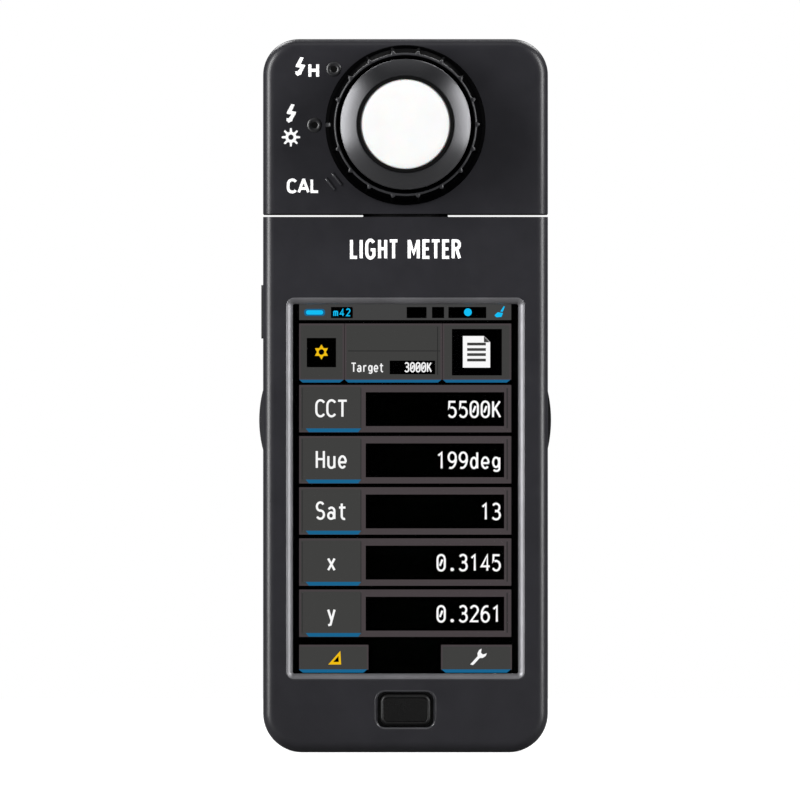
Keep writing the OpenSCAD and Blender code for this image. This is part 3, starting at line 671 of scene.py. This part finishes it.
def top_panel(layers):
    """Light-source key, target field and page key."""
    top, bottom = 5.4, 19.8
    for left, right in ((0.0, 11.6), (11.7, 36.7), (36.8, 54.4)):
        layers["border"].box(left, top, right, bottom)
        layers["grey"].box(left + 0.45, top + 0.45, right - 0.45, bottom - 0.3)
        layers["blue"].outline([(left + 0.1, bottom), (right - 0.2, bottom),
                                (right - 1.1, bottom + 0.72), (left + 0.9, bottom + 0.72)])
    layers["shade"].box(12.5, top + 6.9, 36.2, top + 7.15)
    layers["shade"].box(35.4, top + 0.8, 35.65, top + 13.2)
    layers["black"].box(2.0, 9.1, 9.5, 16.6)
    layers["yellow"].outline(star(5.75, 12.7, 6, 1.95, 1.15))
    layers["dark_dot"].outline(circle_outline(5.75, 12.7, 0.72, 20))
    layers["white"].words("Target", 13.3, 17.75, 2.3, 1.43, "LEFT", 0.95, 0.14)
    layers["black"].box(23.25, 14.9, 34.9, 18.4)
    layers["white"].words("3000K", 34.1, 17.75, 2.3, 1.43, "RIGHT", 0.95, 0.15)
    layers["black"].box(39.2, 6.8, 52.0, 18.7)
    layers["white"].outline([(42.0, 8.6), (47.4, 8.6), (49.0, 10.2), (49.0, 16.7), (42.0, 16.7)])
    layers["fold"].outline([(47.4, 8.7), (48.9, 10.2), (47.4, 10.2)])
    for v in (10.3, 11.7, 13.0, 14.4):
        layers["fold"].box(43.1, v, 47.9, v + 0.72)


def bottom_tabs(layers):
    """Two keys at the foot of the picture: set square and spanner."""
    top, bottom = 87.74, 94.15
    for left, right in ((-0.2, 17.8), (36.4, 54.6)):
        layers["border"].box(left, top, right, bottom)
        layers["grey"].box(left + 0.4, top + 0.45, right - 0.4, bottom)
        layers["blue"].outline([(left + 0.1, bottom - 0.1), (right - 0.3, bottom - 0.1),
                                (right - 1.3, bottom + 0.75), (left + 1.2, bottom + 0.75)])
    layers["yellow"].outline([(7.5, 92.8), (10.8, 92.8), (10.6, 89.3)])
    layers["dark_dot"].outline([(8.75, 92.15), (10.2, 92.15), (10.12, 90.6)])
    spanner = [(-2.05, -0.35), (-1.75, 0.25), (0.35, 0.3), (0.75, 0.75), (1.5, 0.95),
               (2.1, 0.75), (1.35, 0.28), (1.35, -0.28), (2.1, -0.75), (1.5, -0.95),
               (0.75, -0.75), (0.35, -0.3), (-1.75, -0.3)]
    layers["white"].outline(place_outline(spanner, 45.8, 91.2, 1.2, -48))


def make_picture():
    """Lit picture of the display, as thin solids under the glass."""
    depths = [("black_ground", -1, "screen_black"), ("border", 0, "screen_border"),
              ("bar", 0, "screen_bar"), ("grey", 1, "screen_grey"), ("shade", 2, "screen_shade"),
              ("black", 2, "screen_black"), ("blue", 2, "screen_blue"),
              ("cyan", 3, "screen_cyan"), ("yellow", 3, "screen_yellow"),
              ("white", 3, "screen_white"), ("fold", 4, "screen_grey"),
              ("dark_dot", 4, "screen_black")]
    layers = {name: Layer("picture_" + name, depth, colour)
              for name, depth, colour in depths}
    layers["black_ground"].box(-2.3, -0.1, PICTURE_W + 2.3, OPENING_TOP - OPENING_LOW + 0.1)
    status_bar(layers)
    top_panel(layers)
    rows = [("CCT", "5500K"), ("Hue", "199deg"), ("Sat", "13"), ("x", "0.3145"), ("y", "0.3261")]
    for index, (label, value) in enumerate(rows):
        top = FIRST_ROW + ROW_PITCH * index
        value_row(layers, top, top + ROW_H, label, value)
    bottom_tabs(layers)
    for layer in layers.values():
        layer.done()


# ---- Printed marks -------------------------------------------------------------

PRINT_T = 0.03                            # thickness of the printed marks


def head_point(angle, radius):
    """X-Z position on a circle about the receptor axis."""
    a = math.radians(angle)
    return radius * math.cos(a), AXIS_Z + radius * math.sin(a)


BOLT = [(0.0, 2.4), (0.85, 2.25), (0.1, 0.62), (1.25, 0.4), (1.18, 0.05), (0.35, -1.5),
        (0.28, -1.95), (-0.7, -2.4), (-1.25, -1.85), (-1.2, -1.15), (-0.75, -1.3),
        (0.05, -0.3), (-1.15, -0.1), (-1.18, 0.2)]


def sun_shapes(x, z, hole, ring, tip, ray):
    """Polygons of a sun: a ring with eight rays."""
    inner = circle_outline(x, z, hole, 32)
    outer = circle_outline(x, z, ring, 32)
    shapes = [[inner[i - 1], outer[i - 1], outer[i], inner[i]] for i in range(32)]
    spoke = [(ring - 0.2, -ray / 2), (tip, -ray / 2 + 0.1), (tip, ray / 2 - 0.1),
             (ring - 0.2, ray / 2)]
    return shapes + [place_outline(spoke, x, z, 1.0, 45 * i) for i in range(8)]


def make_head_print():
    """White marks of the three ring positions: flash hold, ambient or flash, calibrate."""
    front, back = FACE_Y - PRINT_T, FACE_Y + 0.02
    bm = bmesh.new()
    add_union(bm, [place_outline(BOLT, -26.95, AXIS_Z + 15.0)], front, back)
    add_union(bm, [place_outline(BOLT, -29.25, AXIS_Z + 3.0)], front, back)
    add_union(bm, sun_shapes(-29.35, AXIS_Z - 3.1, 0.68, 1.42, 2.35, 0.66), front, back)
    add_words(bm, "H", -23.5, AXIS_Z + 12.4, 3.15, front, back, None, "CENTER", 1.5, 0.25)
    add_words(bm, "CAL", -26.4, AXIS_Z - 17.2, 3.25, front, back, None, "CENTER", 1.3, 0.215, 0.06)
    from_bmesh("head_print", bm, "head", "print_white")


def make_body_print():
    """Generic name of the kind of instrument above the display."""
    front, back = FACE_Y - PRINT_T, FACE_Y + 0.02
    bm = bmesh.new()
    add_words(bm, "LIGHT METER", 0.0, 126.6, 4.7, front, back, None, "CENTER", 0.8, 0.165)
    from_bmesh("body_print", bm, "main", "print_white")


def make_glass_border():
    """Black print on the back of the glass beside the picture."""
    back = GLASS_HIGH.y
    bm = bmesh.new()
    for side in (-1, 1):
        ends = sorted((side * 27.25, side * (GLASS_HIGH.x - 0.02)))
        add_prism(bm, rectangle(*ends, GLASS_LOW.z + 0.02, GLASS_HIGH.z - 0.02),
                  back - 0.05, back - 0.01)
    from_bmesh("glass_border", bm, "main", "print_and_shade_black")


def make_window_trim():
    """Rounded bevel around the display opening, set a little low on it; a half-metal lighter than the case paint
    adds a painted highlight to the real reflection of the side lights.
    """
    wide, deep = 1.62, GLASS_LOW.y - FACE_Y
    crest = []
    for i in range(9):
        share = i / 8
        bulge = 0.165 * math.sin(math.pi * share)
        crest.append((-0.05 + (wide + 0.05) * share - 0.5 * bulge,
                      GLASS_LOW.y - 0.01 - (deep + 0.01) * share - bulge))
    profile = crest + [(wide + 0.03, FACE_Y + 0.25), (0.35, GLASS_LOW.y + 0.3)]
    opening = (GLASS_LOW.x - 0.1, GLASS_HIGH.x + 0.1, GLASS_LOW.z, GLASS_HIGH.z - 0.3)
    frame_skin("window_trim", opening, 0.45, profile, "main", "trim_metal_painted_highlight")


def make_power_bead():
    """Raised bead around the face of the power button."""
    low, high = node_box("power_button")
    opening = (low.x + 2.3, high.x - 2.3, low.z + 1.9, high.z - 1.9)
    face = low.y
    profile = [(0.0, face + 0.12), (0.06, face), (0.16, face - 0.06), (0.34, face - 0.02),
               (0.56, face + 0.12), (0.76, face + 0.36), (0.86, face + 0.66), (0.0, face + 0.6)]
    frame_skin("power_bead", opening, 1.1, profile, "power_key", "key_edge")


def make_power_rim():
    """Chamfer of the hole that the power button sits in, in a lighter, glossier copy of the case paint: painted
    highlight.
    """
    low, high = node_box("power_button")
    opening = (low.x + 0.65, high.x - 0.65, low.z + 0.55, high.z - 0.55)
    profile = [(0.0, FACE_Y + 0.52), (0.08, FACE_Y + 0.3), (0.24, FACE_Y + 0.11),
               (0.42, FACE_Y + 0.01), (0.56, FACE_Y - 0.02), (0.6, FACE_Y + 0.1),
               (0.3, FACE_Y + 0.6)]
    frame_skin("power_rim", opening, 2.0, profile, "main", "gloss_painted_highlight")


# ---- Receptor ------------------------------------------------------------------

RIBS = 17
INDEX = math.pi                           # the ring's index points to -X at rest
RIB_R = 18.5                              # radius on which the ribs' width is measured
CLICK_ANGLE = 38                          # degrees between two positions of the ring


def rib_height(angle, width):
    """0 between the ribs of the ring, rising to 1 on the crest of a rib."""
    step = 2 * math.pi / (RIBS + 1)
    turn = (angle - INDEX) / step
    if round(turn) % (RIBS + 1) == 0:
        return 0.0
    return max(0.0, 1 - (abs(turn - round(turn)) * step * RIB_R / width) ** 2)


def make_ring():
    """Selector ring with grip ribs on its side, a foot flange, and a lip in a lighter grey whose tone is a painted
    highlight.
    """
    low, high = node_box("selector_ring")
    foot, top = -13.7, low.y
    inner, outer = 17.3, high.x
    grip_low, grip_high = 18.2, 19.5      # radii between which the ribs stand out

    def ribbed(radius, y, angle):
        if not grip_low < radius < grip_high or y > foot - 2:
            return radius
        return radius + 0.7 * rib_height(angle, 0.55)

    profile = [(15.06, foot), (outer - 0.25, foot), (outer, foot - 0.2)]
    profile += [(outer, foot - 1.0), (outer - 0.15, foot - 1.25), (19.6, foot - 1.6)]
    profile += [(19.35, foot - 3.2), (19.05, foot - 5.0), (18.75, foot - 7.0),
                (18.5, top + 0.7), (18.3, top + 0.35), (17.98, top + 0.1), (17.5, top + 0.1),
                (inner, top + 0.25), (inner, foot - 1.65), (15.06, foot - 1.6)]
    ring = lathe("selector_ring_skin", profile, "selector",
                 "ring_black", 720, ribbed, smooth=False)
    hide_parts("selector_ring")

    def tipped(radius, y, angle):
        return radius + (0.7 * rib_height(angle, 0.6) if radius > 18.0 else 0.0)

    # The lip and the rib tips on it are a lighter grey than the ring: painted highlight.
    lip = [(17.66, top + 0.2), (17.74, top + 0.06), (17.88, top), (18.06, top + 0.07),
           (18.26, top + 0.24), (18.36, top + 0.5), (18.3, top + 0.7), (17.8, top + 0.5)]
    lathe("ring_lip", lip, "selector", "lip_painted_highlight", 720, tipped)
    pointer = [(19.3, foot - 3.9), (19.75, foot - 2.9), (20.3, foot - 1.5), (20.1, foot - 1.0)]
    section = [(-0.6, 0.0), (-0.35, 0.14), (0.0, 0.2), (0.35, 0.14), (0.6, 0.0), (0.0, -0.6)]
    rows = [[(-radius - swell, y, AXIS_Z + z) for z, swell in section] for radius, y in pointer]
    loft("ring_index", rows, "selector", "index_grey")


def make_click_marks():
    """Dishes with a raised rim at the two metering positions of the ring, in a darker copy of the case paint:
    painted shade; a black disc on each dish floor is painted shade of its hollow.
    """
    dish = [(0.0, 0.05), (0.8, 0.05), (0.95, -0.02), (1.15, -0.14), (1.4, -0.18),
            (1.65, -0.12), (1.85, 0.0), (1.96, 0.1), (1.96, 0.3), (0.0, 0.3)]
    for index, angle in enumerate((180, 180 - CLICK_ANGLE)):
        x, z = head_point(angle, 23.3)
        lathe("click_dish_%d" % index, dish, "head", "dish_painted_shade", 48,
              centre=(x, FACE_Y, z))
        # Black disc on the dish floor: painted shade of the hollow, not a real pit.
        shade_disc = bmesh.new()
        add_prism(shade_disc, circle_outline(x, z, 0.82), FACE_Y, FACE_Y + 0.2)
        from_bmesh("click_shade_disc_%d" % index, shade_disc, "head", "barrel_black")


def make_click_ridges():
    """Two rounded ridges at the calibration position of the ring, in a lighter, glossier copy of the case paint:
    painted highlight.
    """
    a = math.radians(180 + CLICK_ANGLE)
    ends = [(-1.98, 1.0), (-1.9, 0.3), (-1.7, 0.0), (1.7, 0.0), (1.9, 0.3), (1.98, 1.0)]
    section = [(-0.36, 0.1), (-0.33, -0.16), (-0.17, -0.31), (0.0, -0.34), (0.17, -0.31),
               (0.33, -0.16), (0.36, 0.1)]
    for index, radius in enumerate((22.4, 24.5)):
        rows = []
        for along, shrink in ends:
            row = []
            for across, rise in section:
                r = radius + across * (1 - 0.5 * shrink)
                x = r * math.cos(a) - along * math.sin(a)
                z = r * math.sin(a) + along * math.cos(a)
                row.append((x, FACE_Y + 0.1 + (rise - 0.1) * (1 - shrink), AXIS_Z + z))
            rows.append(row)
        loft("click_ridge_%d" % index, rows, "head", "gloss_painted_highlight")


def make_bezel():
    """Domed metal ring around the diffuser."""
    low, high = node_box("receptor_bezel")
    tip, foot = low.y, high.y
    inner, outer = 12.28, high.x + 0.12
    lean = [(inner + 0.1, tip + 0.05)]
    sphere = 11.1                         # radius of the dome's section
    first, last = 8.5, 31.0               # slopes at its inner and outer end, in degrees
    for i in range(17):
        phi = math.radians(first + (last - first) * i / 16)
        r = inner + 0.15 + sphere * (math.sin(phi) - math.sin(math.radians(first)))
        y = tip + sphere * (math.cos(math.radians(first)) - math.cos(phi))
        lean.append((min(r, outer - 0.1), y))
    drop = lean[-1][1]
    profile = [(inner, foot), (inner, tip + 0.15)] + lean
    profile += [(outer - 0.02, drop + 0.12), (outer, drop + 0.3), (outer, foot - 2.1),
                (14.95, foot - 2.05), (14.95, foot)]
    bezel = lathe("receptor_dome", profile, "head", "bezel_metal", 256)
    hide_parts("receptor_bezel")


def make_diffuser():
    """White disc with a rounded edge."""
    low, high = node_box("diffuser")
    face, back = low.y, high.y
    edge = high.x - 0.02
    profile = [(0.0, back), (edge - 1.0, back), (edge, back - 0.4), (edge, face + 0.35),
               (edge - 0.12, face + 0.14), (edge - 0.35, face + 0.04)]
    profile += [(edge * (1 - i / 8), face - 0.01) for i in range(1, 8)] + [(0.0, face - 0.01)]
    disc = lathe("diffuser_disc", profile, "head", "diffuser_white", 160)
    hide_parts("diffuser")


# ---- Back and battery bay --------------------------------------------------------

def make_door():
    """Battery door with a recessed thumb grip and an arrow that points to the latch."""
    low = node_box("battery_door")[0]
    cutter = bmesh.new()
    for i in range(9):
        z = low.z + 18.0 + 1.5 * i
        half = 7.5 - 0.09 * (i - 4) ** 2
        add_prism(cutter, rounded_rectangle(-half, half, z - 0.42, z + 0.42, 0.4, 4),
                  BACK_Y - 0.5, BACK_Y + 1)
    arrow = [(0.0, low.z + 13.6), (2.2, low.z + 15.8), (-2.2, low.z + 15.8)]
    add_prism(cutter, arrow, BACK_Y - 0.45, BACK_Y + 1)
    carve("battery_door_skin", "battery_door", cutter, "door",
          "rear_paint", 0.18)


def make_thread():
    """Tripod bush with the turns of its quarter-inch thread."""
    low, high = node_box("tripod_bush")
    middle_z = (low.z + high.z) / 2
    bore, pitch, deep = 3.175, 1.27, 0.5
    outer, back, floor = high.x, high.y, low.y + 1.0
    steps = 60
    walls = [(bore - 0.02, back - 0.35 - (back - 0.35 - floor) * i / steps)
             for i in range(steps + 1)]

    def threaded(radius, y, angle):
        if abs(radius - (bore - 0.02)) > 1e-6:
            return radius
        phase = ((back - y) / pitch + angle / (2 * math.pi)) % 1.0
        return bore - deep * (1 - abs(2 * phase - 1))

    profile = [(bore + 0.35, back)] + walls + [(0.0, floor), (0.0, low.y), (outer, low.y),
                                               (outer, back - 0.2), (outer - 0.2, back)]
    bush = lathe("tripod_bush_thread", profile, "main", "brass", 96,
                 threaded, False, "Y", (0.0, 0.0, middle_z))
    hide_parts("tripod_bush")


def make_cells():
    """AA cells: rounded can, sleeve in two colours and a raised positive button."""
    for name in ("battery_left", "battery_right"):
        low, high = node_box(name)
        radius = (high.x - low.x) / 2
        centre = ((low.x + high.x) / 2, (low.y + high.y) / 2, 0.0)
        up = name == "battery_left"

        def along(t):
            return low.z + t if up else high.z - t

        total = high.z - low.z
        shell = [(0.0, 0.0), (radius - 1.1, 0.0), (radius - 0.9, 0.25), (radius - 0.45, 0.12),
                 (radius - 0.08, 0.5), (radius, 0.9), (radius, total - 2.0),
                 (radius - 0.25, total - 1.45), (radius - 0.9, total - 1.22),
                 (3.4, total - 1.3), (2.9, total - 1.15), (2.6, total - 0.35),
                 (2.3, total - 0.06), (0.0, total)]
        can = lathe(name + "_can", [(r, along(t)) for r, t in shell], "main",
                    "cell_metal", 96, axis="Z", centre=centre)
        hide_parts(name)
        for part, start, end, material in (("dark", 0.95, 34.0, "sleeve_dark"),
                                           ("copper", 34.0, total - 2.1, "battery_wrap")):
            wrap = [(radius - 0.3, start), (radius - 0.005, start), (radius + 0.03, start + 0.08),
                    (radius + 0.03, end - 0.08), (radius - 0.005, end), (radius - 0.3, end)]
            lathe("%s_%s" % (name, part), [(r, along(t)) for r, t in wrap], "main",
                  material, 96, axis="Z", centre=centre)


def make_plate_line():
    """Fine black line just inside the edge of the blank plate: painted shade that stands for an engraved groove.
    """
    low, high = node_box("rating_plate")
    inset = 0.9
    opening = (low.x + inset, high.x - inset, low.z + inset, high.z - inset)
    face = high.y
    profile = [(0.0, face + 0.02), (0.16, face + 0.02), (0.16, face - 0.05), (0.0, face - 0.05)]
    frame_skin("plate_line", opening, 0.7, profile, "main", "print_and_shade_black")


# ---- Camera, light and floor ---------------------------------------------------

def make_camera():
    """Long lens that looks straight at the display."""
    view_w = 205.7                        # width of the view at the case, millimetres
    lens, sensor = 600.0, 36.0
    data = bpy.data.cameras.new("camera")
    data.lens = lens
    data.sensor_width = sensor
    data.clip_end = 100.0
    camera = bpy.data.objects.new("camera", data)
    distance = view_w * lens / sensor
    camera.location = Vector((-1.41, -distance, 90.3)) * MM
    camera.rotation_euler = (math.radians(90), 0.0, 0.0)
    bpy.context.scene.collection.objects.link(camera)
    bpy.context.scene.camera = camera


def add_softbox(name, place, target, width, height, radiance):
    """Rectangular area light, in metres, that faces a target."""
    data = bpy.data.lights.new(name, "AREA")
    data.shape = "RECTANGLE"
    data.size = width
    data.size_y = height
    data.energy = radiance * math.pi * width * height
    light = bpy.data.objects.new(name, data)
    light.location = place
    aim = Vector(target) - Vector(place)
    light.rotation_euler = aim.to_track_quat("-Z", "Y").to_euler()
    bpy.context.scene.collection.objects.link(light)


def make_lights():
    """Two tall softboxes in front at the sides, a weak one above, and fill behind."""
    centre = (0.0, 0.0, 0.1)
    reach, height = 1.3, 0.35             # place of the side boxes, metres
    for name, angle, radiance in (("left_box", -60.0, 20.5), ("right_box", 60.0, 16.5)):
        a = math.radians(angle)
        add_softbox(name, (reach * math.sin(a), -reach * math.cos(a), height), centre,
                    0.45, 1.3, radiance)
    add_softbox("top_box", (0.0, -0.55, 1.35), centre, 0.9, 0.3, 1.8)
    for side in (-1, 1):
        add_softbox("back_box", (0.6 * side, 0.9, 1.3), centre, 0.6, 0.8, 10.0)


def make_world():
    """White to the camera, and a dim grey studio to everything else."""
    world = bpy.data.worlds.new("studio")
    world.use_nodes = True
    tree = world.node_tree
    tree.nodes.clear()
    path = add_node(tree, "ShaderNodeLightPath")
    white = add_node(tree, "ShaderNodeBackground", Color=(1.0, 1.0, 1.0, 1.0), Strength=1.0)
    room = add_node(tree, "ShaderNodeBackground", Color=(0.9, 0.93, 1.0, 1.0), Strength=0.10)
    mix = add_node(tree, "ShaderNodeMixShader")
    output = add_node(tree, "ShaderNodeOutputWorld")
    tree.links.new(path.outputs["Is Camera Ray"], mix.inputs["Fac"])
    tree.links.new(room.outputs["Background"], mix.inputs[1])
    tree.links.new(white.outputs["Background"], mix.inputs[2])
    tree.links.new(mix.outputs["Shader"], output.inputs["Surface"])
    bpy.context.scene.world = world
    bpy.context.scene.view_settings.view_transform = "Standard"


def make_floor():
    """Round pale floor under the base."""
    radius = 0.6
    mesh = bpy.data.meshes.new("floor")
    bm = bmesh.new()
    bmesh.ops.create_circle(bm, cap_ends=True, segments=128, radius=radius)
    bm.to_mesh(mesh)
    bm.free()
    floor = bpy.data.objects.new("floor", mesh)
    bpy.context.scene.collection.objects.link(floor)
    tree, shader = principled("floor", (0.18, 0.18, 0.18), 0.8)
    shader.inputs["Emission Color"].default_value = (1.0, 1.0, 1.0, 1.0)
    path = add_node(tree, "ShaderNodeLightPath")
    lift = add_node(tree, "ShaderNodeMath", operation="MULTIPLY")
    lift.inputs[1].default_value = 0.95
    tree.links.new(path.outputs["Is Camera Ray"], lift.inputs[0])
    tree.links.new(lift.outputs["Value"], shader.inputs["Emission Strength"])
    add_bump(tree, shader, noise(tree, 2.0), 0.01)
    mesh.materials.append(MATERIALS["floor"])


make_materials()
dress_frame()
soften_edges()
make_camera()
make_lights()
make_world()
make_floor()
make_picture()
make_glass_border()
make_window_trim()
make_power_bead()
make_power_rim()
make_head_print()
make_body_print()
make_ring()
make_click_marks()
make_click_ridges()
make_bezel()
make_diffuser()
make_door()
make_thread()
make_cells()
make_plate_line()
